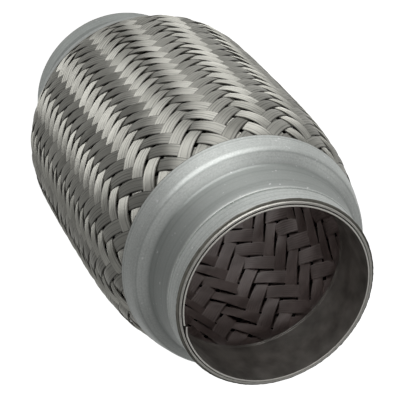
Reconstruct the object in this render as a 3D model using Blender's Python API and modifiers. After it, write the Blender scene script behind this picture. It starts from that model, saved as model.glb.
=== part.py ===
"""Exhaust flex pipe: a thin bellows between two drawn collars, under a woven metal braid.

Frame: metres, +Z along the pipe. The pipe stands on one mouth, at z = 0, and its other mouth
is the upper end. Both ends are alike, so each end piece is modelled once, with its mouth at
its own origin and its body below, and the lower copy is turned over.

From the bore outwards an end holds a rolled sleeve, the bellows tail and the collar's neck.
Behind the sleeve the woven liner starts, inside the bellows. The outer braid runs from collar
to collar, with its ends under the collars' skirts.
"""

import math

import bmesh
import bpy
from mathutils import Matrix

MM = 0.001

# Driving dimensions, in millimetres.
LENGTH = 150.0
BORE_RADIUS = 27.5
CLEARANCE = 0.25

SLEEVE_WALL = 0.5
SLEEVE_LENGTH = 19.3
SLEEVE_SEAM = 0.7
UPPER_SEAM_ANGLE = -23.5
LOWER_SEAM_ANGLE = 140.0

BELLOWS_WALL = 0.4
BELLOWS_HEIGHT = 4.3
CONVOLUTIONS = 7

COLLAR_WALL = 0.75
COLLAR_LENGTH = 26.5
NECK_SETBACK = 0.9
NECK_LENGTH = 6.3
STEP_HEIGHT = 0.3
CONE_LENGTH = 10.4
CONE_RISE = 1.8
SHOULDER_LENGTH = 3.0
SHOULDER_RISE = 3.9
SKIRT_RISE = 1.6
CREASE_RADIUS = 2.2
SHOULDER_RADIUS = 3.0

LINER_STRANDS = 24
LINER_ROWS = 12
LINER_RELIEF = 0.4
LINER_WALL = 1.0
LINER_LAP = 4.0

BRAID_STRANDS = 34
BRAID_ROWS = 19
BRAID_RELIEF = 0.6
BRAID_WALL = 1.2
BRAID_SWELL = 6.11
BRAID_TUCK = 4.5
BULGE_RUN = 9.8
BRAID_TURN = 3.15

GAP_LENGTH = 1.5
GAP_WIDTH = 1.3

SIDES = 26
STEEL = (0.50, 0.51, 0.49)
BRIGHT_STEEL = (0.62, 0.61, 0.57)
DARK_STEEL = (0.16, 0.14, 0.13)

# A turned ring is a polygon, so its flats lie inside its radius by this factor.
FLAT = math.cos(math.pi / SIDES)

# Radii that follow from the stack of pieces in the neck.
SLEEVE_OUTER = BORE_RADIUS + SLEEVE_WALL
TAIL_INNER = SLEEVE_OUTER + CLEARANCE
NECK_INNER = TAIL_INNER + BELLOWS_WALL + CLEARANCE
NECK_RADIUS = NECK_INNER + COLLAR_WALL
LINER_RADIUS = SLEEVE_OUTER + CLEARANCE
LINER_BACK = LINER_RADIUS + LINER_WALL
BELLOWS_ROOT = (LINER_BACK + CLEARANCE) / FLAT
BELLOWS_CREST = BELLOWS_ROOT + BELLOWS_HEIGHT

# Stations along an end, measured back from its mouth.
NECK_END = NECK_SETBACK + NECK_LENGTH
CONE_END = NECK_END + CONE_LENGTH
SHOULDER_END = CONE_END + SHOULDER_LENGTH

CONE_START_RADIUS = NECK_RADIUS + STEP_HEIGHT
CREASE_OUTER = CONE_START_RADIUS + CONE_RISE
SHOULDER_OUTER = CREASE_OUTER + SHOULDER_RISE
SKIRT_OUTER = SHOULDER_OUTER + SKIRT_RISE
SKIRT_SLOPE = SKIRT_RISE / (COLLAR_LENGTH - SHOULDER_END)
SKIRT_INNER = SKIRT_OUTER - COLLAR_WALL * math.hypot(1.0, SKIRT_SLOPE)
BRAID_END_RADIUS = SKIRT_INNER * FLAT - CLEARANCE
BRAID_RADIUS = BRAID_END_RADIUS + BRAID_SWELL


def start_empty():
    """Remove the objects of the open file and make the two collections."""
    for obj in list(bpy.data.objects):
        bpy.data.objects.remove(obj, do_unlink=True)
    parts = bpy.data.collections.new("exhaust_flex_pipe")
    cutters = bpy.data.collections.new("cutters")
    bpy.context.scene.collection.children.link(parts)
    bpy.context.scene.collection.children.link(cutters)
    return parts, cutters


def metal(name, colour, roughness):
    """Return a bare metal material."""
    material = bpy.data.materials.new(name)
    material.use_nodes = True
    shader = material.node_tree.nodes["Principled BSDF"]
    shader.inputs["Base Color"].default_value = (*colour, 1.0)
    shader.inputs["Metallic"].default_value = 1.0
    shader.inputs["Roughness"].default_value = roughness
    return material


def rounded_line(corners, radius_at, steps=2):
    """Return the corners as a line in which the named corners become arcs of the given radius."""
    line = []
    for index, (x, z) in enumerate(corners):
        radius = radius_at.get(index)
        if radius is None:
            line.append((x, z))
            continue
        before = corners[index - 1]
        after = corners[index + 1]
        angle_in = math.atan2(z - before[1], x - before[0])
        angle_out = math.atan2(after[1] - z, after[0] - x)
        bend = angle_out - angle_in
        setback = radius * math.tan(abs(bend) / 2)
        start_x = x - setback * math.cos(angle_in)
        start_z = z - setback * math.sin(angle_in)
        side = math.copysign(1.0, bend)
        centre_x = start_x - side * radius * math.sin(angle_in)
        centre_z = start_z + side * radius * math.cos(angle_in)
        for step in range(steps + 1):
            heading = angle_in + bend * step / steps
            line.append((centre_x + side * radius * math.sin(heading),
                         centre_z - side * radius * math.cos(heading)))
    return line


def turned_shell(name, line, wall, outward, seam=0.0):
    """Turn an open line of (radius, z) about Z and give it a wall on one side."""
    mesh = bpy.data.meshes.new(name)
    points = [(radius * MM, 0.0, z * MM) for radius, z in line]
    mesh.from_pydata(points, [(i, i + 1) for i in range(len(points) - 1)], [])
    obj = bpy.data.objects.new(name, mesh)
    bpy.context.scene.collection.objects.link(obj)

    screw = obj.modifiers.new("turn", "SCREW")
    screw.angle = math.tau - seam
    screw.steps = SIDES
    screw.render_steps = SIDES
    screw.use_merge_vertices = seam == 0.0
    screw.merge_threshold = 0.00001

    solidify = obj.modifiers.new("wall", "SOLIDIFY")
    solidify.thickness = wall * MM
    solidify.offset = 1.0 if outward else -1.0
    solidify.use_even_offset = True

    solid = bpy.data.meshes.new_from_object(obj.evaluated_get(bpy.context.evaluated_depsgraph_get()))
    solid.name = name
    bpy.data.objects.remove(obj)
    bpy.data.meshes.remove(mesh)
    solid.shade_smooth()
    solid.set_sharp_from_angle(angle=math.radians(35))
    return solid


def place(name, mesh, material, collection):
    """Make an object of the mesh, with its own material, in the collection."""
    obj = bpy.data.objects.new(name, mesh)
    mesh.materials.clear()
    mesh.materials.append(material)
    collection.objects.link(obj)
    return obj


def collar_mesh(name):
    """The drawn collar: neck, step, cone, crease, shoulder and skirt."""
    corners = [
        (NECK_RADIUS, -NECK_SETBACK),
        (NECK_RADIUS, -NECK_END),
        (CONE_START_RADIUS, -NECK_END - STEP_HEIGHT),
        (CREASE_OUTER, -CONE_END),
        (SHOULDER_OUTER, -SHOULDER_END),
        (SKIRT_OUTER, -COLLAR_LENGTH),
    ]
    line = rounded_line(corners, {3: CREASE_RADIUS, 4: SHOULDER_RADIUS})
    return turned_shell(name, line, COLLAR_WALL, outward=False)


def sleeve_mesh(name):
    """The sleeve that lines the neck: a strip rolled to a ring, with an open seam."""
    line = [(BORE_RADIUS, 0.0), (BORE_RADIUS, -SLEEVE_LENGTH)]
    return turned_shell(name, line, SLEEVE_WALL, outward=True, seam=SLEEVE_SEAM / BORE_RADIUS)


def bellows_mesh(name):
    """The gas-tight bellows: a plain tail in each neck, a cone, and folds between the shoulders."""
    cone_slope = CONE_RISE / CONE_LENGTH
    widening = (BELLOWS_ROOT - TAIL_INNER) / cone_slope
    half = [(TAIL_INNER, LENGTH - CLEARANCE),
            (TAIL_INNER, LENGTH - NECK_END - CLEARANCE),
            (BELLOWS_ROOT, LENGTH - NECK_END - CLEARANCE - widening)]
    folds_top = LENGTH - SHOULDER_END
    pitch = (2 * folds_top - LENGTH) / CONVOLUTIONS
    folds = []
    for fold in range(CONVOLUTIONS):
        top = folds_top - fold * pitch
        folds.append((BELLOWS_ROOT, top))
        folds.append((BELLOWS_CREST, top - pitch / 2))
    folds.append((BELLOWS_ROOT, LENGTH - folds_top))
    lower_half = [(radius, LENGTH - z) for radius, z in reversed(half)]
    return turned_shell(name, half + folds + lower_half, BELLOWS_WALL, outward=True)


class Weave:
    """A tube woven two over, two under, as a wall with one ridged side and one plain side.

    Seen flat, the strands cross on a grid: column m stands at m half strand spacings round
    the tube and row k at the k-th of the given heights. A crossing is at each m + k even, and a corner
    of the grid, where three floats meet, at each m + k odd. The strands that climb with m lie
    on top in columns 0 and 1 of every four, and those that fall with m in columns 2 and 3, so
    each float covers two crossings and the columns form a herringbone.
    """

    def __init__(self, strands, heights, turn, crest, corner, back, ends):
        self.columns = 2 * strands
        self.heights = heights
        self.top_row = len(heights) - 1
        self.turn = math.radians(turn)
        self.crest = crest
        self.corner = corner
        self.back = back
        self.ends = ends

    def angle(self, column):
        return self.turn + column * math.tau / self.columns

    def ring(self, bm, radius, z, step=1):
        """Add a ring of points, one for every step-th column."""
        angles = [self.angle(column) for column in range(0, self.columns, step)]
        return [bm.verts.new((radius * math.cos(a) * MM, radius * math.sin(a) * MM, z * MM))
                for a in angles]

    def ridged_rows(self, bm):
        """Add the grid's points: crossings at the crest, corners sunk, the two rims sunk."""
        rows = []
        for row in range(self.top_row + 1):
            z = self.heights[row]
            points = []
            for column in range(self.columns):
                is_rim = row in (0, self.top_row)
                is_crossing = (column + row) % 2 == 0
                radius = self.crest(z) if is_crossing and not is_rim else self.corner(z)
                a = self.angle(column)
                points.append(bm.verts.new((radius * math.cos(a) * MM, radius * math.sin(a) * MM, z * MM)))
            rows.append(points)
        return rows

    def add_floats(self, bm, rows):
        """Cover each crossing with facets, and join each float's two crossings by a ridge."""
        def at(column, row):
            return rows[row][column % self.columns]

        for row in range(self.top_row + 1):
            for column in range(row % 2, self.columns, 2):
                here = at(column, row)
                left = at(column - 1, row)
                right = at(column + 1, row)
                if row == 0:
                    above = at(column, row + 1)
                    bm.faces.new((left, here, above))
                    bm.faces.new((here, right, above))
                    continue
                below = at(column, row - 1)
                if row == self.top_row:
                    bm.faces.new((left, below, here))
                    bm.faces.new((below, right, here))
                    continue
                above = at(column, row + 1)
                kind = column % 4
                edges = [(left, below), (below, right), (right, above), (above, left)]
                if kind == 0 and row + 1 < self.top_row:
                    partner = at(column + 1, row + 1)
                    edges.remove((right, above))
                    bm.faces.new((here, right, partner))
                    bm.faces.new((here, partner, above))
                elif kind == 2 and row > 1:
                    partner = at(column + 1, row - 1)
                    edges.remove((below, right))
                    bm.faces.new((here, below, partner))
                    bm.faces.new((here, partner, right))
                elif kind == 1 and row > 1:
                    edges.remove((left, below))
                elif kind == 3 and row + 1 < self.top_row:
                    edges.remove((above, left))
                for first, second in edges:
                    bm.faces.new((first, second, here))

    def mesh(self, name, back_stations):
        """Return the closed wall: woven side, plain ends, plain back."""
        bm = bmesh.new()
        rows = self.ridged_rows(bm)
        self.add_floats(bm, rows)
        bottom, top = self.ends
        woven_end_low = self.ring(bm, self.corner(bottom), bottom)
        woven_end_high = self.ring(bm, self.corner(top), top)
        for lower, upper in ((woven_end_low, rows[0]), (rows[-1], woven_end_high)):
            for i in range(self.columns):
                j = (i + 1) % self.columns
                bm.faces.new((lower[i], lower[j], upper[j], upper[i]))

        backs = [self.ring(bm, self.back(z), z, step=2) for z in (bottom, *back_stations, top)]
        for lower, upper in zip(backs, backs[1:]):
            for i in range(len(lower)):
                j = (i + 1) % len(lower)
                bm.faces.new((lower[i], lower[j], upper[j], upper[i]))
        for fine, coarse in ((woven_end_low, backs[0]), (woven_end_high, backs[-1])):
            for i in range(len(coarse)):
                j = (i + 1) % len(coarse)
                first, middle, last = fine[2 * i], fine[2 * i + 1], fine[2 * j]
                bm.faces.new((first, middle, coarse[i]))
                bm.faces.new((middle, coarse[j], coarse[i]))
                bm.faces.new((middle, last, coarse[j]))
        bmesh.ops.recalc_face_normals(bm, faces=bm.faces)
        bmesh.ops.triangulate(bm, faces=[face for face in bm.faces if len(face.verts) > 3])
        mesh = bpy.data.meshes.new(name)
        bm.to_mesh(mesh)
        bm.free()
        mesh.shade_smooth()
        mesh.set_sharp_from_angle(angle=math.radians(12))
        return mesh

    def gap_cutter(self, name, grid_rows, collection):
        """Return wedges that cut the openings left at every second corner of the given rows."""
        bm = bmesh.new()
        for row in grid_rows:
            z = self.heights[row]
            inner = min(self.back(z), self.crest(z)) - 1.0
            outer = max(self.back(z), self.crest(z)) + 1.0
            for column in range((row + 1) % 2, self.columns, 4):
                # A blunt strand end leaves the wedge, which narrows away from that strand.
                towards = 1.0 if column % 2 == 0 else -1.0
                frame = (Matrix.Rotation(self.angle(column), 4, "Z")
                         @ Matrix.Translation(((inner + outer) / 2 * MM, 0.0, z * MM))
                         @ Matrix.Diagonal((1.0, towards, 1.0, 1.0))
                         @ Matrix.Rotation(math.radians(90), 4, "Y"))
                wedge = bmesh.ops.create_cone(bm, cap_ends=True, segments=3, radius1=MM, radius2=MM,
                                              depth=(outer - inner) * MM)
                bmesh.ops.scale(bm, verts=wedge["verts"],
                                vec=(GAP_WIDTH / math.sqrt(3), GAP_LENGTH / 1.5, 1.0))
                bmesh.ops.transform(bm, verts=wedge["verts"], matrix=frame)
        bmesh.ops.recalc_face_normals(bm, faces=bm.faces)
        mesh = bpy.data.meshes.new(name)
        bm.to_mesh(mesh)
        bm.free()
        cutter = bpy.data.objects.new(name, mesh)
        cutter.hide_render = True
        cutter.display_type = "WIRE"
        collection.objects.link(cutter)
        return cutter


def cut(obj, cutter):
    """Cut the cutter out of the object."""
    boolean = obj.modifiers.new("gaps", "BOOLEAN")
    boolean.operation = "DIFFERENCE"
    boolean.solver = "EXACT"
    boolean.object = cutter


def braid_radius(z):
    """Outer radius of the braid: parallel to the skirt inside it, then swelling to full size."""
    past_skirt = min(z, LENGTH - z) - COLLAR_LENGTH
    if past_skirt < 0.0:
        return BRAID_END_RADIUS + past_skirt * SKIRT_SLOPE
    return BRAID_RADIUS - BRAID_SWELL * math.exp(-past_skirt / BULGE_RUN)


def upper_braid_rows(run, steps=6):
    """Heights of the braid's rows from the middle one up, for a run along a strand."""
    z = LENGTH / 2
    heights = [z]
    for _ in range(BRAID_ROWS):
        for _ in range(steps):
            column_width = math.pi / BRAID_STRANDS * braid_radius(z)
            z += math.sqrt(max(run ** 2 - column_width ** 2, 0.0)) / steps
        heights.append(z)
    return heights


def braid_rows():
    """Heights of all the braid's rows, from skirt to skirt.

    The run along a strand from one crossing to the next stays the same, so the rows open out
    where the tube narrows. The run is found by halving, so that the last row meets the skirt.
    """
    short = math.pi / BRAID_STRANDS * BRAID_END_RADIUS
    long = short + LENGTH / BRAID_ROWS
    for _ in range(50):
        run = (short + long) / 2
        if upper_braid_rows(run)[-1] > LENGTH - COLLAR_LENGTH:
            long = run
        else:
            short = run
    upper = upper_braid_rows(run)
    return [LENGTH - z for z in reversed(upper[1:])] + upper


def outer_braid(parts, cutters):
    """The outer braid, ridged outside, with the openings that show beside each collar."""
    end = COLLAR_LENGTH - BRAID_TUCK
    weave = Weave(BRAID_STRANDS, braid_rows(), BRAID_TURN,
                  crest=braid_radius,
                  corner=lambda z: braid_radius(z) - BRAID_RELIEF,
                  back=lambda z: braid_radius(z) - BRAID_WALL,
                  ends=(end, LENGTH - end))
    lower = [COLLAR_LENGTH, COLLAR_LENGTH + BULGE_RUN]
    upper = [LENGTH - z for z in reversed(lower)]
    mesh = weave.mesh("outer_braid", (*lower, *upper))
    obj = place("outer_braid", mesh, metal("bright_braid_steel", BRIGHT_STEEL, 0.35), parts)
    cut(obj, weave.gap_cutter("outer_gaps", (2, 2 * BRAID_ROWS - 2), cutters))


def inner_braid(parts, cutters):
    """The woven liner, ridged towards the bore, with its ends behind the sleeves."""
    end = SLEEVE_LENGTH - LINER_LAP
    half_pitch = (LENGTH - 2 * SLEEVE_LENGTH) / (2 * LINER_ROWS)
    heights = [SLEEVE_LENGTH + row * half_pitch for row in range(2 * LINER_ROWS + 1)]
    weave = Weave(LINER_STRANDS, heights, 0.0,
                  crest=lambda z: LINER_RADIUS,
                  corner=lambda z: LINER_RADIUS + LINER_RELIEF,
                  back=lambda z: LINER_BACK,
                  ends=(end, LENGTH - end))
    mesh = weave.mesh("inner_braid", ())
    obj = place("inner_braid", mesh, metal("dark_liner_steel", DARK_STEEL, 0.45), parts)
    cut(obj, weave.gap_cutter("liner_gaps", (2, 2 * LINER_ROWS - 2), cutters))


def end_pieces(parts):
    """The collars and the sleeves: an upper one, and the same turned over at the foot."""
    for side in ("upper", "lower"):
        collar = place(side + "_collar", collar_mesh(side + "_collar"),
                       metal(side + "_collar_steel", STEEL, 0.5), parts)
        sleeve = place(side + "_sleeve", sleeve_mesh(side + "_sleeve"),
                       metal(side + "_sleeve_steel", DARK_STEEL, 0.4), parts)
        if side == "upper":
            collar.location.z = LENGTH * MM
            sleeve.location.z = LENGTH * MM
            sleeve.rotation_euler.z = math.radians(UPPER_SEAM_ANGLE)
        else:
            collar.rotation_euler.x = math.pi
            sleeve.rotation_euler = (math.pi, 0.0, math.radians(LOWER_SEAM_ANGLE))


def build():
    parts, cutters = start_empty()
    end_pieces(parts)
    place("bellows", bellows_mesh("bellows"), metal("bellows_steel", STEEL, 0.4), parts)
    inner_braid(parts, cutters)
    outer_braid(parts, cutters)


build()
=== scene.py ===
"""How the exhaust flex pipe looks: every piece of it in its real form and finish.

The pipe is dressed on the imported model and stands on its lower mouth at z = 0. Lengths in the
sections are in millimetres, and MM turns them to metres. A station is a distance along the axis
from the nearer mouth, and a reach is one from the pipe's middle.
"""

import math

import bmesh
import bpy
from mathutils import Matrix, Vector, noise


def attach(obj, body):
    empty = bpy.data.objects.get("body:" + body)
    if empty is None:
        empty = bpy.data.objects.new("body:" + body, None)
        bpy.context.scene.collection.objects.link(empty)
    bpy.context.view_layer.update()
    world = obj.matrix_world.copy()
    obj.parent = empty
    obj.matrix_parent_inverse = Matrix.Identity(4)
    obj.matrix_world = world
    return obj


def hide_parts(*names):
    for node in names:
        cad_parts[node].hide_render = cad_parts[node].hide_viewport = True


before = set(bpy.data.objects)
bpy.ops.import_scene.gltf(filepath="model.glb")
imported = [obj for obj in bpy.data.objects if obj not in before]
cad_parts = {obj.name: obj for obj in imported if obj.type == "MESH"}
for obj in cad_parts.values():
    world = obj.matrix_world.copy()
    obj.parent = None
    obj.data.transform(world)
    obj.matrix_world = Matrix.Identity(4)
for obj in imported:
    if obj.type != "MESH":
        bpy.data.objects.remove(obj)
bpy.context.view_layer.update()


# Bellows: the gas-tight tube, two thin plies of stainless sheet pressed into round folds.
# Its plain tail runs out between sleeve and collar to each mouth, where the plies' edges
# show as a bright double ring.

MM = 0.001
LENGTH = 150.0
TAIL_INNER = 28.27
TAIL_OUTER = 28.87
TAIL_SETBACK = 0.25
TAIL_BREAK = 0.08
TAIL_BREAK_DEPTH = 0.1
TAIL_END = 8.0
RISE_END = 14.0
PLY_GAP = (28.54, 28.64)
PLY_GAP_DEPTH = 0.8
BELLOWS_WALL = 0.4
BELLOWS_SIDES = 128
FOLD_ROOT = 29.75
FOLD_CREST = 33.9
FOLD_COUNT = 20
FOLD_STEPS = 6
FOLDS_START = 22.0
UNSHADED_TAIL = 3.0
SHARP_ANGLE = 40


def linear(hex_colour):
    """Turn an sRGB hex colour to the linear one that a node takes."""
    channels = [int(hex_colour[i:i + 2], 16) / 255 for i in (1, 3, 5)]
    return (*[c / 12.92 if c <= 0.04045 else ((c + 0.055) / 1.055) ** 2.4 for c in channels], 1.0)


def add_node(tree, kind, inputs=(), output=0, **settings):
    """Add a node with its settings, set or link its inputs, and return one of its outputs."""
    node = tree.nodes.new(kind)
    for name, value in settings.items():
        setattr(node, name, value)
    pairs = inputs.items() if isinstance(inputs, dict) else enumerate(inputs)
    for key, value in pairs:
        if isinstance(value, bpy.types.NodeSocket):
            tree.links.new(value, node.inputs[key])
        else:
            node.inputs[key].default_value = value
    return node.outputs[output]


def new_steel(name, roughness):
    """Start a bare metal material and return it with its tree and its shader."""
    material = bpy.data.materials.new(name)
    material.use_nodes = True
    shader = material.node_tree.nodes["Principled BSDF"]
    shader.inputs["Metallic"].default_value = 1.0
    shader.inputs["Roughness"].default_value = roughness
    return material, material.node_tree, shader


def reach_from_middle(tree, place):
    """Nodes for how far a point lies along the axis from the pipe's middle, in metres."""
    level = add_node(tree, "ShaderNodeSeparateXYZ", (place,), output=2)
    above = add_node(tree, "ShaderNodeMath", (level, LENGTH / 2 * MM), operation="SUBTRACT")
    return add_node(tree, "ShaderNodeMath", (above,), operation="ABSOLUTE")


def turned(name, outline, sides, start=0.0, sweep=math.tau, shape=None):
    """Turn a closed outline of (radius, z) about Z; shape may move a point (radius, angle, z)."""
    closed = sweep == math.tau
    rings = []
    bm = bmesh.new()
    for side in range(sides if closed else sides + 1):
        angle = start + sweep * side / sides
        ring = []
        for radius, z in outline:
            r, a, h = shape(radius, angle, z) if shape else (radius, angle, z)
            ring.append(bm.verts.new((r * math.cos(a) * MM, r * math.sin(a) * MM, h * MM)))
        rings.append(ring)
    pairs = list(zip(rings, rings[1:]))
    if closed:
        pairs.append((rings[-1], rings[0]))
    else:
        bm.faces.new(rings[0])
        bm.faces.new(rings[-1])
    for one, other in pairs:
        for i in range(len(outline)):
            j = (i + 1) % len(outline)
            bm.faces.new((one[i], one[j], other[j], other[i]))
    bmesh.ops.recalc_face_normals(bm, faces=bm.faces)
    mesh = bpy.data.meshes.new(name)
    bm.to_mesh(mesh)
    bm.free()
    mesh.shade_smooth()
    mesh.set_sharp_from_angle(angle=math.radians(SHARP_ANGLE))
    obj = bpy.data.objects.new(name, mesh)
    bpy.context.scene.collection.objects.link(obj)
    return obj


def other_end(line):
    """The same line of (radius, z) at the pipe's other end, run the other way."""
    return [(radius, LENGTH - z) for radius, z in reversed(line)]


folds = []
fold_pitch = (LENGTH - 2 * FOLDS_START) / FOLD_COUNT
for step in range(FOLD_COUNT * FOLD_STEPS + 1):
    swing = 0.5 - 0.5 * math.cos(math.tau * step / FOLD_STEPS)
    folds.append((FOLD_ROOT + (FOLD_CREST - FOLD_ROOT) * swing,
                  LENGTH - FOLDS_START - fold_pitch * step / FOLD_STEPS))

top = LENGTH - TAIL_SETBACK
tail_outside = [(TAIL_OUTER, top - TAIL_BREAK_DEPTH), (TAIL_OUTER, LENGTH - TAIL_END),
                (FOLD_ROOT, LENGTH - RISE_END)]
tail_edge = [(TAIL_INNER, top - TAIL_BREAK), (TAIL_INNER + TAIL_BREAK, top), (PLY_GAP[0], top),
             (PLY_GAP[0], top - PLY_GAP_DEPTH), (PLY_GAP[1], top - PLY_GAP_DEPTH),
             (PLY_GAP[1], top), (TAIL_OUTER - TAIL_BREAK, top)]
tail_inside = [(FOLD_ROOT - BELLOWS_WALL, LENGTH - RISE_END), (TAIL_INNER, LENGTH - TAIL_END)]
inside = [(radius - BELLOWS_WALL, z) for radius, z in reversed(folds)]
bellows = turned("bellows_two_ply",
                 tail_edge + tail_outside + folds + other_end(tail_outside) + other_end(tail_edge)
                 + other_end(tail_inside) + inside + tail_inside, BELLOWS_SIDES)

# Stainless sheet, cold rolled and pressed: the ring at each mouth is pale and fairly bright. The
# folds behind the braids are painted near black, painted shade for the dark space under the
# braids.
# The grain is drawn a millimetre across, coarser than the real one, so that it shows.
bellows_steel, tree, shader = new_steel("pressed_stainless_sheet", 0.42)
place = add_node(tree, "ShaderNodeTexCoord", output=3)
grain = add_node(tree, "ShaderNodeTexNoise", {"Vector": place, "Scale": 900.0, "Detail": 3.0})
pale_sheet = add_node(tree, "ShaderNodeMix", {0: grain, 6: linear("#CFCDC6"), 7: linear("#F2F0E9")},
                 output=2, data_type="RGBA")
reach = reach_from_middle(tree, place)
# Painted shade: all but the last few millimetres of each tail are mixed to near black.
painted_fold_shade = add_node(tree, "ShaderNodeMath", (reach, (LENGTH / 2 - UNSHADED_TAIL) * MM),
                operation="LESS_THAN")
tone = add_node(tree, "ShaderNodeMix", {0: painted_fold_shade, 6: pale_sheet, 7: linear("#3A3632")}, output=2,
                data_type="RGBA")
tree.links.new(tone, shader.inputs["Base Color"])
bellows.data.materials.append(bellows_steel)
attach(bellows, "root")
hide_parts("bellows")


# Woven liner: 24 flat strips of stainless each way, woven two over two under into a tube that
# guides the gas past the bellows. Its ends flare a little and lie behind the sleeves.

LINER_STRANDS = 24
LINER_ROWS = 24
LINER_RADIUS = 27.90
LINER_FLARE = 0.93
LINER_FLARE_RUN = 2.4
LINER_LIFT = 0.36
LINER_WANDER = 0.9
LINER_TILT = 0.42
LINER_SEED = 2.0
LINER_STRAND = {"width": 4.75, "thickness": 0.30, "wires": 6, "wire_height": 0.07, "crown": 0.05}
LINER_START = 19.3
LINER_HALF_PITCH = (LENGTH - 2 * LINER_START) / LINER_ROWS
LINER_RUN = math.hypot(LINER_HALF_PITCH, math.pi / LINER_STRANDS * LINER_RADIUS)
LINER_LAP = 3.8
LINER_STEPS = 4
LINER_OWN_TONE = 0.35
SOOT_SHARE = 0.45
UNDERSIDE_SHARE = 0.47
SAME_PLACE = 1e-9


def strand_tape(name, marks, width, thickness, wires, wire_height, crown):
    """A straight flat strand along Y: a row of round wires on top, plain below, with capped ends.

    Each mark is (place along the pipe, row of crossings there), and the points keep the row.
    """
    section = []
    for place_across in range(2 * wires + 1):
        across = (place_across / (2 * wires) - 0.5) * width
        sag = crown * (2 * across / width) ** 2
        valley = 0.0 if place_across % 2 else wire_height
        section.append((across, thickness / 2 - sag - valley))
    top_points = len(section)
    half_below = width * UNDERSIDE_SHARE
    section += [(half_below, -thickness / 2), (-half_below, -thickness / 2)]
    bm = bmesh.new()
    uv = bm.loops.layers.uv.new("strand_mm")
    row_layer = bm.verts.layers.float.new("row")
    rows = []
    for along, row_number in marks:
        rows.append([bm.verts.new((x * MM, along * MM, h * MM)) for x, h in section])
        for vert in rows[-1]:
            vert[row_layer] = row_number
    for row, above in zip(rows, rows[1:]):
        for i in range(len(section)):
            j = (i + 1) % len(section)
            bm.faces.new((row[j], row[i], above[i], above[j]))
    bm.faces.new(rows[0])
    bm.faces.new(tuple(reversed(rows[-1])))
    bmesh.ops.recalc_face_normals(bm, faces=bm.faces)
    for face in bm.faces:
        face.smooth = True
        for loop in face.loops:
            loop[uv].uv = (loop.vert.co.x / MM, loop.vert.co.y / MM)
    valleys = {vert for row in rows for i, vert in enumerate(row) if i % 2 == 0 or i >= top_points}
    for edge in bm.edges:
        one, other = edge.verts
        runs_along = abs(one.co.x - other.co.x) < SAME_PLACE
        edge.smooth = not (one in valleys and other in valleys and runs_along)
    mesh = bpy.data.meshes.new(name)
    bm.to_mesh(mesh)
    bm.free()
    return mesh


def even_marks(start, half_pitch, rows, lap, steps):
    """Marks for a strand whose rows are all alike, with a lap past the first and last row."""
    beyond = math.ceil(lap / half_pitch * steps)
    return [(start + half_pitch * i / steps, i / steps)
            for i in range(-beyond, rows * steps + beyond + 1)]


# How the noise that moves the strands is spread: between strands, along them (per metre), and
# between the two layers. The lean changes faster than the drift, and a lift past its limit is
# cut off, which flattens the top of each float.
STRAND_SPREAD = 5.37
ALONG_SPREAD = 70.0
LAYER_SPREAD = 9.0
LEAN_SCALE = 1.7
LIFT_GAIN = 1.1


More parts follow.
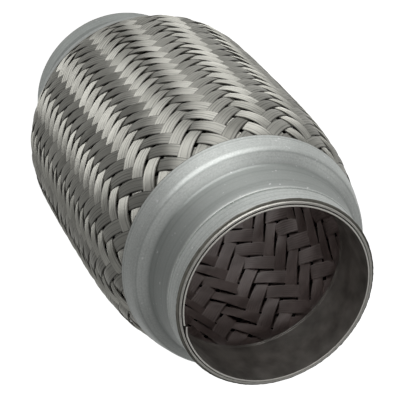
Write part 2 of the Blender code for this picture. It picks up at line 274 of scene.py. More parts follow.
def strand_tree():
    """Nodes that lay copies of a straight strand round a tube, over two and under two."""
    tree = bpy.data.node_groups.new("lay_strands", "GeometryNodeTree")
    tree.is_modifier = True
    wanted = [("Geometry", "NodeSocketGeometry"), ("Strands", "NodeSocketInt"),
              ("Direction", "NodeSocketFloat"), ("Facing", "NodeSocketFloat"),
              ("Turn", "NodeSocketFloat"), ("Start", "NodeSocketFloat"),
              ("Crossing run", "NodeSocketFloat"), ("Radius", "NodeSocketFloat"),
              ("Lift", "NodeSocketFloat"), ("Swell", "NodeSocketFloat"),
              ("Swell run", "NodeSocketFloat"), ("Lower swell run", "NodeSocketFloat"),
              ("Skirt slope", "NodeSocketFloat"), ("Pipe length", "NodeSocketFloat"),
              ("Wander", "NodeSocketFloat"), ("Tilt", "NodeSocketFloat"),
              ("Seed", "NodeSocketFloat"), ("Finish", "NodeSocketMaterial")]
    for name, kind in wanted:
        tree.interface.new_socket(name, in_out="INPUT", socket_type=kind)
    tree.interface.new_socket("Geometry", in_out="OUTPUT", socket_type="NodeSocketGeometry")
    given = tree.nodes.new("NodeGroupInput").outputs

    # One copy of the strand for each place round the tube, with its number kept on it.
    places = add_node(tree, "GeometryNodeMeshLine",
                      {"Count": given["Strands"], "Offset": (0, 0, 0)})
    copies = add_node(tree, "GeometryNodeInstanceOnPoints",
                      {"Points": places, "Instance": given["Geometry"]})
    number = add_node(tree, "GeometryNodeInputIndex")
    numbered = add_node(tree, "GeometryNodeStoreNamedAttribute",
                        {"Geometry": copies, "Name": "strand", "Value": number},
                        data_type="FLOAT", domain="INSTANCE")
    laid = add_node(tree, "GeometryNodeRealizeInstances", {"Geometry": numbered})
    strand = add_node(tree, "GeometryNodeInputNamedAttribute", {"Name": "strand"},
                      data_type="FLOAT")
    row = add_node(tree, "GeometryNodeInputNamedAttribute", {"Name": "row"}, data_type="FLOAT")
    position = add_node(tree, "GeometryNodeInputPosition")
    across, along, height = add_node(tree, "ShaderNodeSeparateXYZ", (position,), output=slice(3))
    math_kind = "ShaderNodeMath"

    def tube_radius(level):
        """The tube's radius: parallel to the skirt inside it, then swelling to full size."""
        to_far_end = add_node(tree, math_kind, (given["Pipe length"], level), operation="SUBTRACT")
        to_end = add_node(tree, math_kind, (level, to_far_end), operation="MINIMUM")
        past = add_node(tree, math_kind, (to_end, given["Start"]), operation="SUBTRACT")
        free = add_node(tree, math_kind, (past, 0.0), operation="MAXIMUM")
        lower_half = add_node(tree, math_kind, (level, to_far_end), operation="LESS_THAN")
        swell_run = add_node(tree, "ShaderNodeMix", {0: lower_half, 2: given["Swell run"],
                                                     3: given["Lower swell run"]})
        in_runs = add_node(tree, math_kind, (free, swell_run), operation="DIVIDE")
        fallen = add_node(tree, math_kind, (in_runs, -1.0), operation="MULTIPLY")
        fading = add_node(tree, math_kind, (fallen,), operation="EXPONENT")
        missing = add_node(tree, math_kind, (given["Swell"], fading), operation="MULTIPLY")
        swollen = add_node(tree, math_kind, (given["Radius"], missing), operation="SUBTRACT")
        under = add_node(tree, math_kind, (past, 0.0), operation="MINIMUM")
        return add_node(tree, math_kind, (under, given["Skirt slope"], swollen),
                        operation="MULTIPLY_ADD")

    # The grid of crossings. The run from one crossing to the next along a strand stays the same,
    # so rows open out where the tube narrows.
    radius = tube_radius(along)
    run = given["Crossing run"]
    column_angle = add_node(tree, math_kind, (math.pi, given["Strands"]), operation="DIVIDE")
    column_width = add_node(tree, math_kind, (column_angle, radius), operation="MULTIPLY")
    slant_sin = add_node(tree, math_kind, (column_width, run), operation="DIVIDE")
    sin_squared = add_node(tree, math_kind, (slant_sin, slant_sin), operation="MULTIPLY")
    cos_squared = add_node(tree, math_kind, (1.0, sin_squared), operation="SUBTRACT")
    slant_cos = add_node(tree, math_kind, (cos_squared,), operation="SQRT")
    first = add_node(tree, math_kind, (strand, 2.0), operation="MULTIPLY")
    column = add_node(tree, math_kind, (row, given["Direction"], first), operation="MULTIPLY_ADD")

    # Real strands drift sideways and lean a little, each in its own way.
    line = add_node(tree, math_kind, (strand, STRAND_SPREAD, given["Seed"]),
                    operation="MULTIPLY_ADD")
    stretch = add_node(tree, math_kind, (along, ALONG_SPREAD), operation="MULTIPLY")
    layer = add_node(tree, math_kind, (given["Direction"], LAYER_SPREAD), operation="MULTIPLY")
    where = add_node(tree, "ShaderNodeCombineXYZ", (line, stretch, layer))
    drift = add_node(tree, "ShaderNodeTexNoise", {"Vector": where, "Scale": 1.0, "Detail": 1.0})
    drift = add_node(tree, math_kind, (drift, 0.5), operation="SUBTRACT")
    lean = add_node(tree, "ShaderNodeTexNoise",
                    {"Vector": where, "Scale": LEAN_SCALE, "Detail": 0.0})
    lean = add_node(tree, math_kind, (lean, 0.5), operation="SUBTRACT")
    slope = add_node(tree, math_kind, (across, given["Tilt"]), operation="MULTIPLY")
    height = add_node(tree, math_kind, (slope, lean, height), operation="MULTIPLY_ADD")
    across = add_node(tree, math_kind, (drift, given["Wander"], across), operation="MULTIPLY_ADD")
    across = add_node(tree, math_kind, (across, given["Facing"]), operation="MULTIPLY")

    # Over two crossings and under two, switched along the crossing strand's edge.
    steep = add_node(tree, math_kind, (slant_cos, slant_sin), operation="DIVIDE")
    flat = add_node(tree, math_kind, (slant_sin, slant_cos), operation="DIVIDE")
    skew = add_node(tree, math_kind, (steep, flat), operation="SUBTRACT")
    in_run = add_node(tree, math_kind, (across, run), operation="DIVIDE")
    half_in_run = add_node(tree, math_kind, (in_run, 0.5), operation="MULTIPLY")
    switch = add_node(tree, math_kind, (skew, half_in_run, column), operation="MULTIPLY_ADD")
    from_crest = add_node(tree, math_kind, (switch, 0.5), operation="SUBTRACT")
    phase = add_node(tree, math_kind, (from_crest, math.pi / 2), operation="MULTIPLY")
    wave = add_node(tree, math_kind, (phase,), operation="COSINE")
    wave = add_node(tree, math_kind, (wave, LIFT_GAIN), operation="MULTIPLY")
    wave = add_node(tree, "ShaderNodeClamp", (wave, -1.0, 1.0))
    lifted = add_node(tree, math_kind, (wave, given["Lift"]), operation="MULTIPLY")
    raised = add_node(tree, math_kind, (lifted, given["Direction"], height),
                      operation="MULTIPLY_ADD")

    # Wrap the result round the axis.
    slid = add_node(tree, math_kind, (across, slant_sin), operation="MULTIPLY")
    slid = add_node(tree, math_kind, (slid, given["Direction"]), operation="MULTIPLY")
    level = add_node(tree, math_kind, (along, slid), operation="SUBTRACT")
    turned_by = add_node(tree, math_kind, (column, column_angle, given["Turn"]),
                         operation="MULTIPLY_ADD")
    sideways = add_node(tree, math_kind, (across, slant_cos), operation="MULTIPLY")
    sideways = add_node(tree, math_kind, (sideways, radius), operation="DIVIDE")
    angle = add_node(tree, math_kind, (turned_by, sideways), operation="ADD")
    away = add_node(tree, math_kind, (raised, given["Facing"], tube_radius(level)),
                    operation="MULTIPLY_ADD")
    cosine = add_node(tree, math_kind, (angle,), operation="COSINE")
    sine = add_node(tree, math_kind, (angle,), operation="SINE")
    east = add_node(tree, math_kind, (away, cosine), operation="MULTIPLY")
    north = add_node(tree, math_kind, (away, sine), operation="MULTIPLY")
    wrapped = add_node(tree, "ShaderNodeCombineXYZ", (east, north, level))
    shaped = add_node(tree, "GeometryNodeSetPosition", {"Geometry": laid, "Position": wrapped})
    finished = add_node(tree, "GeometryNodeSetMaterial",
                        {"Geometry": shaped, "Material": given["Finish"]})
    add_node(tree, "NodeGroupOutput", (finished,), output=slice(0))
    return tree


STRAND_TREE = strand_tree()


def lay_strands(name, tape, settings):
    """Run the strand nodes on a tape and return the result as a plain mesh."""
    carrier = bpy.data.objects.new(name, tape)
    bpy.context.scene.collection.objects.link(carrier)
    weave = carrier.modifiers.new("weave", "NODES")
    weave.node_group = STRAND_TREE
    for item in STRAND_TREE.interface.items_tree:
        if item.in_out == "INPUT" and item.name in settings:
            weave[item.identifier] = settings[item.name]
    graph = bpy.context.evaluated_depsgraph_get()
    mesh = bpy.data.meshes.new_from_object(carrier.evaluated_get(graph), depsgraph=graph)
    mesh.name = name
    bpy.data.objects.remove(carrier)
    return mesh


# Stainless strip, rolled, woven and since heated: brown-grey, each strip in its own tone under
# cloudy soot, with fine lines along it. The lines stretch each glint across the strip.
liner_steel, tree, shader = new_steel("heat_browned_woven_strip", 0.30)
shader.inputs["Anisotropic"].default_value = 0.9
across_strand = add_node(tree, "ShaderNodeTangent", direction_type="UV_MAP", uv_map="strand_mm")
tree.links.new(across_strand, shader.inputs["Tangent"])
strand_place = add_node(tree, "ShaderNodeUVMap", uv_map="strand_mm")
stretched = add_node(tree, "ShaderNodeMapping",
                     {"Vector": strand_place, "Scale": (5.0, 0.12, 1.0)})
lines = add_node(tree, "ShaderNodeTexNoise", {"Vector": stretched, "Scale": 1.0, "Detail": 3.0})
number = add_node(tree, "ShaderNodeAttribute", attribute_name="strand", output=2)
own = add_node(tree, "ShaderNodeTexWhiteNoise", {"W": number}, noise_dimensions="1D")
place = add_node(tree, "ShaderNodeTexCoord", output=3)
soot = add_node(tree, "ShaderNodeTexNoise", {"Vector": place, "Scale": 95.0, "Detail": 2.0})
soot = add_node(tree, "ShaderNodeMapRange", {"Value": soot, "From Min": 0.35, "From Max": 0.65})
mixed = add_node(tree, "ShaderNodeMix", {0: LINER_OWN_TONE, 2: lines, 3: own})
mixed = add_node(tree, "ShaderNodeMix", {0: SOOT_SHARE, 2: mixed, 3: soot})
tone = add_node(tree, "ShaderNodeMix", {0: mixed, 6: linear("#AAA09E"), 7: linear("#FFF6F4")},
                output=2, data_type="RGBA")
tree.links.new(tone, shader.inputs["Base Color"])

liner_marks = even_marks(LINER_START, LINER_HALF_PITCH, LINER_ROWS, LINER_LAP, LINER_STEPS)
liner_tape = strand_tape("liner_tape", liner_marks, **LINER_STRAND)
both_ways = bmesh.new()
for direction in (1.0, -1.0):
    half = lay_strands("liner_half", liner_tape, {
        "Strands": LINER_STRANDS, "Direction": direction, "Facing": -1.0, "Turn": 0.0,
        "Start": LINER_START * MM, "Crossing run": LINER_RUN * MM, "Radius": LINER_RADIUS * MM,
        "Lift": LINER_LIFT * MM, "Swell": -LINER_FLARE * MM, "Swell run": LINER_FLARE_RUN * MM,
        "Lower swell run": LINER_FLARE_RUN * MM, "Skirt slope": 0.0, "Pipe length": LENGTH * MM,
        "Wander": LINER_WANDER * MM, "Tilt": LINER_TILT, "Seed": LINER_SEED,
        "Finish": liner_steel})
    both_ways.from_mesh(half)
    bpy.data.meshes.remove(half)
liner_mesh = bpy.data.meshes.new("woven_liner")
both_ways.to_mesh(liner_mesh)
both_ways.free()
liner_mesh.materials.append(liner_steel)
liner = bpy.data.objects.new("woven_liner", liner_mesh)
bpy.context.scene.collection.objects.link(liner)
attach(liner, "root")
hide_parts("inner_braid")


# Sleeves: a strip of thin sheet rolled to a ring lines each neck and holds the liner's end.
# The seam stays open a little, and at the near mouth one corner of it is bent into the bore.

SLEEVE_INNER = 27.5
SLEEVE_OUTER = 27.98
SLEEVE_LENGTH = 19.3
SLEEVE_SIDES = 160
SLEEVE_BREAK = 0.06
CUT_EDGE_REACH = (74.86, 74.94)
BEAD_PLACES = (0.35, 1.05)
BEAD_HALF_WIDTH = 0.12
BEAD_DEPTH = 0.1
CORNER_ROWS = (6.0, 3.0, 1.2)
CORNER_SIZE = 3.2
CORNER_BEND = 0.55
CORNER_CURVE = 1.5
SEAM_GAP = 0.6
UPPER_SEAM = -23.5
LOWER_SEAM = 140.0


def sleeve_line():
    """The sleeve's section, with its mouth at z = LENGTH and two fine beads at its inner end."""
    inner_end = LENGTH - SLEEVE_LENGTH
    line = [(SLEEVE_INNER + SLEEVE_BREAK, LENGTH), (SLEEVE_OUTER - SLEEVE_BREAK, LENGTH),
            (SLEEVE_OUTER, LENGTH - SLEEVE_BREAK), (SLEEVE_OUTER, inner_end),
            (SLEEVE_INNER, inner_end)]
    for bead in BEAD_PLACES:
        line += [(SLEEVE_INNER, inner_end + bead - BEAD_HALF_WIDTH),
                 (SLEEVE_INNER + BEAD_DEPTH, inner_end + bead),
                 (SLEEVE_INNER, inner_end + bead + BEAD_HALF_WIDTH)]
    return line + [(SLEEVE_INNER, LENGTH - station) for station in (*CORNER_ROWS, SLEEVE_BREAK)]


def bent_corner(seam):
    """Return a shape that bends the strip's first corner at the mouth a little into the bore."""
    def shape(radius, angle, z):
        near_seam = max(0.0, 1.0 - (angle - seam) * SLEEVE_INNER / CORNER_SIZE)
        near_mouth = max(0.0, 1.0 - (LENGTH - z) / CORNER_SIZE)
        near = near_seam * near_mouth
        return radius - CORNER_BEND * near ** CORNER_CURVE, angle, z
    return shape


# Rolled stainless sheet, dark and mottled from heat and soot inside the bore, with a bright cut
# edge at the mouth.
sleeve_steel, tree, shader = new_steel("heat_darkened_rolled_sheet", 0.5)
place = add_node(tree, "ShaderNodeTexCoord", output=3)
reach = reach_from_middle(tree, place)
edge = add_node(tree, "ShaderNodeMapRange", {"Value": reach, "From Min": CUT_EDGE_REACH[0] * MM,
                                             "From Max": CUT_EDGE_REACH[1] * MM})
smoke = add_node(tree, "ShaderNodeTexNoise", {"Vector": place, "Scale": 150.0, "Detail": 6.0})
smoke = add_node(tree, "ShaderNodeMapRange", {"Value": smoke, "From Min": 0.34, "From Max": 0.68})
face = add_node(tree, "ShaderNodeMix", {0: smoke, 6: linear("#98948F"), 7: linear("#CFCCC6")},
                output=2, data_type="RGBA")
tone = add_node(tree, "ShaderNodeMix", {0: edge, 6: face, 7: linear("#E6E4DD")},
                output=2, data_type="RGBA")
tree.links.new(tone, shader.inputs["Base Color"])

seam = math.radians(UPPER_SEAM)
sleeve_sweep = math.tau - SEAM_GAP / SLEEVE_INNER
upper_sleeve = turned("upper_sleeve_rolled", sleeve_line(), SLEEVE_SIDES, start=seam,
                      sweep=sleeve_sweep, shape=bent_corner(seam))
lower_sleeve = turned("lower_sleeve_rolled", [(radius, LENGTH - z) for radius, z in sleeve_line()],
                      SLEEVE_SIDES, start=math.radians(LOWER_SEAM), sweep=sleeve_sweep)
for sleeve, node in ((upper_sleeve, "upper_sleeve"), (lower_sleeve, "lower_sleeve")):
    sleeve.data.materials.append(sleeve_steel)
    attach(sleeve, "root")
    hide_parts(node)


# Outer braid: 34 flat strands each way, each of eight bright stainless wires side by side, woven
# two over two under. It swells out from under both collars' skirts, which grip its ends, and
# does so more quickly at the lower end.

BRAID_STRANDS = 34
BRAID_ROWS = 19
BRAID_RUN = 4.52
BRAID_STEPS = 3
BRAID_TURN = 3.15
BRAID_TUCK = 3.6
BRAID_CREST = 41.96
BRAID_LIFT = 0.5
BRAID_WANDER = 0.7
BRAID_TILT = 0.34
BRAID_SEED = 11.0
BRAID_SWELL = 6.1
UPPER_SWELL_RUN = 9.8
LOWER_SWELL_RUN = 5.0
SKIRT_EDGE = 26.5
SKIRT_SLOPE = 0.27
ROW_SHIFTS = ((27.0, 1.4), (50.0, 1.2), (65.0, 0.5), (78.0, 0.0), (95.0, 0.5), (113.0, 1.1))
BRAID_STRAND = {"width": 3.78, "thickness": 0.42, "wires": 8, "wire_height": 0.07, "crown": 0.16}
BRAID_RADIUS = BRAID_CREST - (BRAID_LIFT + BRAID_STRAND["thickness"] / 2)
BRAID_OWN_TONE = 0.35
GROOVE_WIDTH = 0.3
GROOVE_SHADE = 0.9
RIM_START = 0.34
RIM_END = 0.04
RIM_SHADE = 0.75


def row_shift(station):
    """How far the rows stand off the even rule there, away from the upper mouth."""
    for (start, low), (end, high) in zip(ROW_SHIFTS, ROW_SHIFTS[1:]):
        if station <= end:
            break
    share = min(max((station - start) / (end - start), 0.0), 1.0)
    return low + (high - low) * share


def half_braid(swell_run):
    """Step from the pipe's middle to under a skirt: (place past the middle, rows from it)."""
    steps = [(0.0, 0.0)]
    while steps[-1][0] < LENGTH / 2 - SKIRT_EDGE + BRAID_TUCK:
        reach, row_number = steps[-1]
        free = LENGTH / 2 - reach - SKIRT_EDGE
        radius = BRAID_RADIUS - BRAID_SWELL * math.exp(-max(free, 0.0) / swell_run)
        radius += SKIRT_SLOPE * min(free, 0.0)
        half_pitch = math.sqrt(BRAID_RUN ** 2 - (math.pi / BRAID_STRANDS * radius) ** 2)
        steps.append((reach + half_pitch / BRAID_STEPS, row_number + 1 / BRAID_STEPS))
    return steps


def braid_marks():
    """Marks for a braid strand, from under the lower skirt to under the upper one."""
    lower = [(-reach, -row_number)
             for reach, row_number in reversed(half_braid(LOWER_SWELL_RUN)[1:])]
    places = [(LENGTH / 2 + reach, BRAID_ROWS + row_number)
              for reach, row_number in lower + half_braid(UPPER_SWELL_RUN)]
    return [(level - row_shift(LENGTH - level), row_number) for level, row_number in places]


# Stainless wire, drawn bright and laid side by side: pale, with drawing lines along each wire and
# a slightly different tone from strand to strand. The lines stretch each glint across the strand,
# so one way of strands is bright where the other is dark. Thin grey lines, here and there, are
# painted shade in the grooves between wires, and each strand's rims are painted grey as the shade
# where it meets its neighbours.
braid_steel, tree, shader = new_steel("bright_drawn_stainless_wire", 0.60)
shader.inputs["Anisotropic"].default_value = 1.0
across_strand = add_node(tree, "ShaderNodeTangent", direction_type="UV_MAP", uv_map="strand_mm")
tree.links.new(across_strand, shader.inputs["Tangent"])
strand_place = add_node(tree, "ShaderNodeUVMap", uv_map="strand_mm")
stretched = add_node(tree, "ShaderNodeMapping",
                     {"Vector": strand_place, "Scale": (4.0, 0.08, 1.0)})
lines = add_node(tree, "ShaderNodeTexNoise", {"Vector": stretched, "Scale": 1.0, "Detail": 4.0})
number = add_node(tree, "ShaderNodeAttribute", attribute_name="strand", output=2)
own = add_node(tree, "ShaderNodeTexWhiteNoise", {"W": number}, noise_dimensions="1D")
mixed = add_node(tree, "ShaderNodeMix", {0: BRAID_OWN_TONE, 2: lines, 3: own})
wire = add_node(tree, "ShaderNodeMix", {0: mixed, 6: linear("#A8A79F"), 7: linear("#FFFEF6")},
                output=2, data_type="RGBA")
# Painted shade: dark lines in the grooves between wires, in patches, and a dark rim along each
# strand's edges, both mixed toward a dark grey.
wire_by_wire = add_node(tree, "ShaderNodeMapping",
                        {"Vector": strand_place, "Scale": (2.1, 0.035, 1.0)})
groove_shade_patches = add_node(tree, "ShaderNodeTexNoise",
                     {"Vector": wire_by_wire, "Scale": 1.0, "Detail": 1.0})
groove_shade_patches = add_node(tree, "ShaderNodeMapRange",
                     {"Value": groove_shade_patches, "From Min": 0.42, "From Max": 0.62})
across = add_node(tree, "ShaderNodeSeparateXYZ", (strand_place,))
in_wires = add_node(tree, "ShaderNodeMath",
                    (across, BRAID_STRAND["width"] / BRAID_STRAND["wires"]), operation="DIVIDE")
across_wire = add_node(tree, "ShaderNodeMath", (in_wires, 1.0), operation="PINGPONG")
groove_shade = add_node(tree, "ShaderNodeMapRange",
                  {"Value": across_wire, "From Min": 0.0, "From Max": GROOVE_WIDTH,
                   "To Min": GROOVE_SHADE, "To Max": 0.0})
groove_shade = add_node(tree, "ShaderNodeMath", (groove_shade, groove_shade_patches), operation="MULTIPLY")
from_centre = add_node(tree, "ShaderNodeMath", (across,), operation="ABSOLUTE")
rim_shade = add_node(tree, "ShaderNodeMapRange",
               {"Value": from_centre, "From Min": BRAID_STRAND["width"] / 2 - RIM_START,
                "From Max": BRAID_STRAND["width"] / 2 - RIM_END, "To Max": RIM_SHADE})
shaded = add_node(tree, "ShaderNodeMath", (groove_shade, rim_shade), operation="MAXIMUM")
tone = add_node(tree, "ShaderNodeMix", {0: shaded, 6: wire, 7: linear("#4C4A46")}, output=2,
                data_type="RGBA")
tree.links.new(tone, shader.inputs["Base Color"])

braid_tape = strand_tape("braid_tape", braid_marks(), **BRAID_STRAND)
for name, direction in (("outer_braid_climbing", 1.0), ("outer_braid_falling", -1.0)):
    mesh = lay_strands(name, braid_tape, {
        "Strands": BRAID_STRANDS, "Direction": direction, "Facing": 1.0,
        "Turn": math.radians(BRAID_TURN), "Start": SKIRT_EDGE * MM, "Crossing run": BRAID_RUN * MM,
        "Radius": BRAID_RADIUS * MM, "Lift": BRAID_LIFT * MM, "Swell": BRAID_SWELL * MM,
        "Swell run": UPPER_SWELL_RUN * MM, "Lower swell run": LOWER_SWELL_RUN * MM,
        "Skirt slope": SKIRT_SLOPE, "Pipe length": LENGTH * MM, "Wander": BRAID_WANDER * MM,
        "Tilt": BRAID_TILT, "Seed": BRAID_SEED, "Finish": braid_steel})
    braid = bpy.data.objects.new(name, mesh)
    bpy.context.scene.collection.objects.link(braid)
    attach(braid, "root")
    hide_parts("outer_braid")


# Collars: one at each end, drawn from steel sheet. A plain neck, a fine step, a hollow cone, a
# crease, a soft shoulder, and a skirt that grips the braid.

COLLAR_WALL = 0.75
COLLAR_SIDES = 192
NECK_RADIUS = 29.65
NECK_INNER = NECK_RADIUS - COLLAR_WALL + 0.02
NECK_SETBACK = 0.9
OUTSIDE_ARC_STEPS = 8
INSIDE_ARC_STEPS = 6
CRINKLE_DEPTH = 0.9
CRINKLE_OUT = 0.09
CRINKLE_UP = 0.12
CRINKLES_ROUND = 40
CRINKLES_UP = 0.9
CRINKLES_THROUGH = 3
FINE_CRINKLE = (0.6, 2.3)
CONE_REACH = (55.5, 58.0)
STEP_REACH = (66.8, 67.8)
NECK_EDGE_REACH = (73.75, 73.95)
SKIRT_EDGE_REACH = (48.75, 48.95)
CONE_SHARE = 0.75
RING_SHARE = 0.55
NICK_SHARE = 0.6
LOWER_SHADE_SHARE = 0.35


def rounded_line(corners, steps):
    """Turn (radius, station, rounding) corners to a line in which each rounding is an arc."""
    line = []
    for index, (x, s, rounding) in enumerate(corners):
        if not rounding:
            line.append((x, s))
            continue
        before, after = corners[index - 1], corners[index + 1]
        angle_in = math.atan2(s - before[1], x - before[0])
        angle_out = math.atan2(after[1] - s, after[0] - x)
        bend = (angle_out - angle_in + math.pi) % math.tau - math.pi
        setback = rounding * math.tan(abs(bend) / 2)
        side = math.copysign(1.0, bend)
        x0, s0 = x - setback * math.cos(angle_in), s - setback * math.sin(angle_in)
        cx = x0 - side * rounding * math.sin(angle_in)
        cs = s0 + side * rounding * math.cos(angle_in)
        for step in range(steps + 1):
            heading = angle_in + bend * step / steps
            line.append((cx + side * rounding * math.sin(heading),
                         cs - side * rounding * math.cos(heading)))
    return line


def collar_section():
    """The collar's closed section as (radius, station), outside first, then back up inside."""
    outside = rounded_line([
        # The neck, with its sawn edge.
        (NECK_RADIUS - 0.22, NECK_SETBACK, 0.0),
        (NECK_RADIUS - 0.05, NECK_SETBACK + 0.12, 0.0),
        (NECK_RADIUS, NECK_SETBACK + 0.4, 0.0),
        (NECK_RADIUS + 0.02, 4.0, 0.0),
        (NECK_RADIUS, 7.0, 0.0),
        # The fine step, a groove and then a ridge.
        (NECK_RADIUS - 0.16, 7.08, 0.0),
        (NECK_RADIUS - 0.16, 7.26, 0.0),
        (NECK_RADIUS + 0.22, 7.32, 0.0),
        (NECK_RADIUS + 0.32, 7.5, 0.0),
        # The hollow of the cone, the crease, the shoulder and the skirt's end.
        (30.35, 11.0, 12.0),
        (31.7, 17.75, 1.6),
        (35.65, 20.75, 3.4),
        (37.23, 26.3, 0.0),
        (37.12, 26.46, 0.0),
    ], OUTSIDE_ARC_STEPS)
    inside = rounded_line([
        (36.5, 26.42, 0.0),
        (35.0, 21.3, 2.4),
        (31.0, 18.3, 2.2),
        (29.3, 9.0, 0.0),
        (NECK_INNER, 7.6, 0.0),
        (NECK_INNER, NECK_SETBACK + 0.15, 0.0),
        (NECK_INNER + 0.1, NECK_SETBACK, 0.0),
    ], INSIDE_ARC_STEPS)
    return outside + inside


def crinkled_rim(radius, angle, z):
    """Roughen the sawn edge of the neck: the real one is torn and crinkled by about 0.1 mm."""
    station = min(z, LENGTH - z)
    near = max(0.0, 1.0 - (station - NECK_SETBACK) / CRINKLE_DEPTH)
    place = Vector((CRINKLES_ROUND * math.cos(angle), CRINKLES_ROUND * math.sin(angle),
                    z * CRINKLES_UP + radius * CRINKLES_THROUGH))
    share, scale = FINE_CRINKLE
    rough = noise.noise(place) + share * noise.noise(place * scale)
    return radius + CRINKLE_OUT * near * rough, angle, z + CRINKLE_UP * near * rough


# Drawn steel sheet, tumbled to a satin: pale grey with a fine speckle and soft clouds, faint
# rings from the die, a few bright nicks, and a cone a little darker. Its sawn edge at the neck is
# dark. The skirt's edge is painted dark, painted shade where the braid runs under it, and the
# lower collar is painted darker all over, painted shade for the weaker light on it. Speckle and
# nicks are drawn half a millimetre across, coarser than the real ones, so that they show.
collar_steel, tree, shader = new_steel("satin_drawn_steel_sheet", 0.46)
place = add_node(tree, "ShaderNodeTexCoord", output=3)
reach = reach_from_middle(tree, place)
speckle = add_node(tree, "ShaderNodeTexNoise", {"Vector": place, "Scale": 1900.0, "Detail": 2.0})
cloud = add_node(tree, "ShaderNodeTexNoise", {"Vector": place, "Scale": 70.0, "Detail": 3.0})
mixed = add_node(tree, "ShaderNodeMix", {0: 0.5, 2: speckle, 3: cloud})
face = add_node(tree, "ShaderNodeMix", {0: mixed, 6: linear("#A6ABA7"), 7: linear("#FCFFFC")},
                output=2, data_type="RGBA")
below_step = add_node(tree, "ShaderNodeMapRange",
                      {"Value": reach, "From Min": STEP_REACH[0] * MM,
                       "From Max": STEP_REACH[1] * MM, "To Min": 1.0, "To Max": 0.0},
                      interpolation_type="SMOOTHSTEP")
past_crease = add_node(tree, "ShaderNodeMapRange",
                       {"Value": reach, "From Min": CONE_REACH[0] * MM,
                        "From Max": CONE_REACH[1] * MM, "To Max": CONE_SHARE},
                       interpolation_type="SMOOTHSTEP")
darker_cone = add_node(tree, "ShaderNodeMath", (past_crease, below_step), operation="MULTIPLY")
face = add_node(tree, "ShaderNodeMix", {0: darker_cone, 6: face, 7: linear("#A2A6A3")}, output=2,
                data_type="RGBA")
rings = add_node(tree, "ShaderNodeTexNoise", {"W": reach, "Scale": 900.0, "Detail": 3.0},
                 noise_dimensions="1D")
rings = add_node(tree, "ShaderNodeMapRange",
                 {"Value": rings, "From Min": 0.5, "From Max": 0.78, "To Max": RING_SHARE})
face = add_node(tree, "ShaderNodeMix", {0: rings, 6: face, 7: linear("#939895")}, output=2,
                data_type="RGBA")
nicks = add_node(tree, "ShaderNodeTexNoise", {"Vector": place, "Scale": 620.0, "Detail": 1.0})
nicks = add_node(tree, "ShaderNodeMapRange",
                 {"Value": nicks, "From Min": 0.71, "From Max": 0.77, "To Max": NICK_SHARE})
face = add_node(tree, "ShaderNodeMix", {0: nicks, 6: face, 7: linear("#FFFFFF")}, output=2,
                data_type="RGBA")
# Painted shade: the lower collar is mixed toward a darker grey.
level = add_node(tree, "ShaderNodeSeparateXYZ", (place,), output=2)
lower = add_node(tree, "ShaderNodeMath", (level, LENGTH / 2 * MM), operation="LESS_THAN")
painted_lower_shade = add_node(tree, "ShaderNodeMath", (lower, LOWER_SHADE_SHARE), operation="MULTIPLY")
face = add_node(tree, "ShaderNodeMix", {0: painted_lower_shade, 6: face, 7: linear("#8B908E")}, output=2,
                data_type="RGBA")
neck_end = add_node(tree, "ShaderNodeMapRange",
                    {"Value": reach, "From Min": NECK_EDGE_REACH[0] * MM,
                     "From Max": NECK_EDGE_REACH[1] * MM})
# Painted shade: a dark band along the skirt's edge, where the braid runs under it.
skirt_edge_shade = add_node(tree, "ShaderNodeMapRange",
                     {"Value": reach, "From Min": SKIRT_EDGE_REACH[0] * MM,
                      "From Max": SKIRT_EDGE_REACH[1] * MM, "To Min": 1.0, "To Max": 0.0})
sawn_edge_and_skirt_shade = add_node(tree, "ShaderNodeMath", (neck_end, skirt_edge_shade), operation="ADD", use_clamp=True)
tone = add_node(tree, "ShaderNodeMix", {0: sawn_edge_and_skirt_shade, 6: face, 7: linear("#77766F")}, output=2,
                data_type="RGBA")
tree.links.new(tone, shader.inputs["Base Color"])
relief = add_node(tree, "ShaderNodeBump",
                  {"Height": speckle, "Strength": 0.25, "Distance": 0.05 * MM})
tree.links.new(relief, shader.inputs["Normal"])

section = collar_section()
upper_collar = turned("upper_collar_drawn", [(radius, LENGTH - z) for radius, z in section],
                      COLLAR_SIDES, shape=crinkled_rim)
lower_collar = turned("lower_collar_drawn", section, COLLAR_SIDES, shape=crinkled_rim)
for collar, node in ((upper_collar, "upper_collar"), (lower_collar, "lower_collar")):
    collar.data.materials.append(collar_steel)
    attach(collar, "root")
    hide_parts(node)


# Floor: plain white studio paper. The camera and the metal see it white, and it keeps the
# pipe's soft shadow. A black cloth lies far out on one side, which only the metal shows.

FLOOR_HALF = 2.0
FLOOR_DROP = 0.1
PAPER_GLOW = 0.8
MIRRORED_PAPER_GLOW = 0.2
CLOTH_SIDE = (-0.875, 0.485, 0.0)
CLOTH_EDGE = (-0.29, 0.09)
CLOTH_COVER = 0.65
WHITE = (1.0, 1.0, 1.0, 1.0)

floor_mesh = bpy.data.meshes.new("studio_floor")
floor_mesh.from_pydata([(-FLOOR_HALF, -FLOOR_HALF, 0.0), (FLOOR_HALF, -FLOOR_HALF, 0.0),
                        (FLOOR_HALF, FLOOR_HALF, 0.0), (-FLOOR_HALF, FLOOR_HALF, 0.0)],
                       [], [(0, 1, 2, 3)])
floor = bpy.data.objects.new("studio_floor", floor_mesh)
floor.location.z = -FLOOR_DROP * MM
bpy.context.scene.collection.objects.link(floor)


def seen_or_mirrored(tree, ray):
    """Nodes that are 1 for a ray from the camera and for one that metal or glass sends on."""
    mirrored = add_node(tree, "ShaderNodeMath", (ray["Is Glossy Ray"], ray["Is Transmission Ray"]),
                        operation="ADD")
    return add_node(tree, "ShaderNodeMath", (mirrored, ray["Is Camera Ray"]), operation="ADD",
                    use_clamp=True)


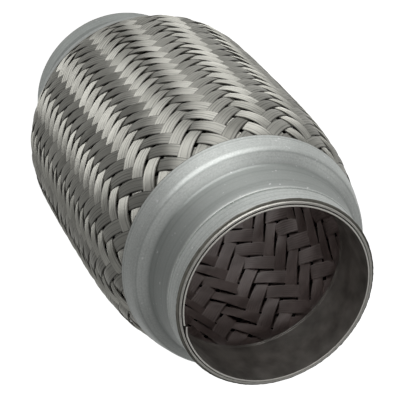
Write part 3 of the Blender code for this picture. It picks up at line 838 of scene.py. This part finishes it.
# Matt white paper: an even white with no gloss, so the eye sees only the shadow on it.
floor_paper = bpy.data.materials.new("white_floor_paper")
floor_paper.use_nodes = True
tree = floor_paper.node_tree
tree.nodes.clear()
ray = tree.nodes.new("ShaderNodeLightPath").outputs
place = add_node(tree, "ShaderNodeTexCoord", output=3)
from_cloth = add_node(tree, "ShaderNodeVectorMath", (place, CLOTH_SIDE), output=1,
                      operation="DOT_PRODUCT")
covered = add_node(tree, "ShaderNodeMapRange",
                   {"Value": from_cloth, "From Min": CLOTH_EDGE[0], "From Max": CLOTH_EDGE[1],
                    "To Min": CLOTH_COVER, "To Max": 0.0}, interpolation_type="SMOOTHSTEP")
covered = add_node(tree, "ShaderNodeMix", {0: ray["Is Camera Ray"], 2: covered, 3: 0.0})
strength = add_node(tree, "ShaderNodeMix",
                    {0: ray["Is Camera Ray"], 2: MIRRORED_PAPER_GLOW, 3: PAPER_GLOW})
lit = add_node(tree, "ShaderNodeBsdfDiffuse", {"Color": (0.8, 0.8, 0.8, 1.0)})
glow = add_node(tree, "ShaderNodeEmission", {"Color": WHITE, "Strength": strength})
paper = add_node(tree, "ShaderNodeAddShader", (lit, glow))
cloth = add_node(tree, "ShaderNodeBsdfDiffuse", {"Color": (0.06, 0.06, 0.06, 1.0)})
shown = add_node(tree, "ShaderNodeMixShader", (covered, paper, cloth))
mixed = add_node(tree, "ShaderNodeMixShader", (seen_or_mirrored(tree, ray), lit, shown))
add_node(tree, "ShaderNodeOutputMaterial", {"Surface": mixed}, output=slice(0))
floor_mesh.materials.append(floor_paper)


# Light: a plain soft room, one large soft lamp and a smaller one. The backdrop is white to the
# camera. The metal shows it too, white low on one side, pale overhead, and falling to the black
# cloth on the other, with a faint wall there.

ROOM_LIGHT = 0.35
WHITE_SIDE = (-0.826, -0.421, -0.375)
WHITE_SPREAD = (0.365, 1.37)
DARKEST = 0.11
CEILING_SPREAD = (0.70, 0.92)
CEILING_GLOW = 0.60
WALL_SIDE = (0.966, -0.15, 0.21)
WALL_SPREAD = (0.60, 0.97)
WALL_GLOW = 0.12

world = bpy.data.worlds.new("soft_room")
bpy.context.scene.world = world
world.use_nodes = True
tree = world.node_tree
tree.nodes.clear()
ray = tree.nodes.new("ShaderNodeLightPath").outputs
heading = add_node(tree, "ShaderNodeTexCoord", output=0)
glows = []
for side, spread, low, high in ((WHITE_SIDE, WHITE_SPREAD, DARKEST, 1.0),
                                ((0.0, 0.0, 1.0), CEILING_SPREAD, 0.0, CEILING_GLOW),
                                (WALL_SIDE, WALL_SPREAD, 0.0, WALL_GLOW)):
    facing = add_node(tree, "ShaderNodeVectorMath", (heading, side), output=1,
                      operation="DOT_PRODUCT")
    glows.append(add_node(tree, "ShaderNodeMapRange",
                          {"Value": facing, "From Min": spread[0], "From Max": spread[1],
                           "To Min": low, "To Max": high}, interpolation_type="SMOOTHSTEP"))
mirrored_level = add_node(tree, "ShaderNodeMath", (glows[0], glows[1]), operation="ADD")
mirrored_level = add_node(tree, "ShaderNodeMath", (mirrored_level, glows[2]), operation="ADD")
level = add_node(tree, "ShaderNodeMix", {0: ray["Is Camera Ray"], 2: mirrored_level, 3: 1.0})
room = add_node(tree, "ShaderNodeBackground", {"Strength": ROOM_LIGHT, "Color": WHITE})
backdrop = add_node(tree, "ShaderNodeBackground", {"Strength": level, "Color": WHITE})
mixed = add_node(tree, "ShaderNodeMixShader", (seen_or_mirrored(tree, ray), room, backdrop))
add_node(tree, "ShaderNodeOutputWorld", {"Surface": mixed}, output=slice(0))


def soft_lamp(name, direction, distance, size, brightness):
    """Hang a square soft lamp in a direction from the pipe's middle, facing it, in metres."""
    lamp = bpy.data.lights.new(name, "AREA")
    lamp.size = size
    lamp.energy = math.pi * size * size * brightness
    obj = bpy.data.objects.new(name, lamp)
    away = Vector(direction).normalized()
    obj.location = Vector((0.0, 0.0, LENGTH / 2 * MM)) + away * distance
    obj.rotation_euler = away.to_track_quat("Z", "Y").to_euler()
    bpy.context.scene.collection.objects.link(obj)


soft_lamp("key_softbox", direction=(-0.339, -0.922, 0.194), distance=0.60, size=0.69,
          brightness=1.6)
soft_lamp("side_softbox", direction=(-0.80, 0.32, 0.52), distance=0.90, size=0.40,
          brightness=0.9)


# Camera: at the photograph's viewing angle, near the upper mouth and turned so that the pipe
# runs back to the upper left. Place and lens come from circles fitted in the photograph.

CAMERA_PLACE = (0.0, -0.2740, 0.5010)
CAMERA_RIGHT = (-0.7886, 0.5131, 0.3389)
CAMERA_UP = (-0.6149, -0.6565, -0.4368)

camera = bpy.data.cameras.new("camera")
camera.lens = 144.0
camera.sensor_width = 36.0
camera.clip_start = 0.01
camera_object = bpy.data.objects.new("camera", camera)
right = Vector(CAMERA_RIGHT).normalized()
back = right.cross(Vector(CAMERA_UP).normalized()).normalized()
turn = Matrix((right, back.cross(right), back)).transposed().to_4x4()
camera_object.matrix_world = Matrix.Translation(CAMERA_PLACE) @ turn
bpy.context.scene.collection.objects.link(camera_object)
bpy.context.scene.camera = camera_object
bpy.context.scene.view_settings.view_transform = "Standard"
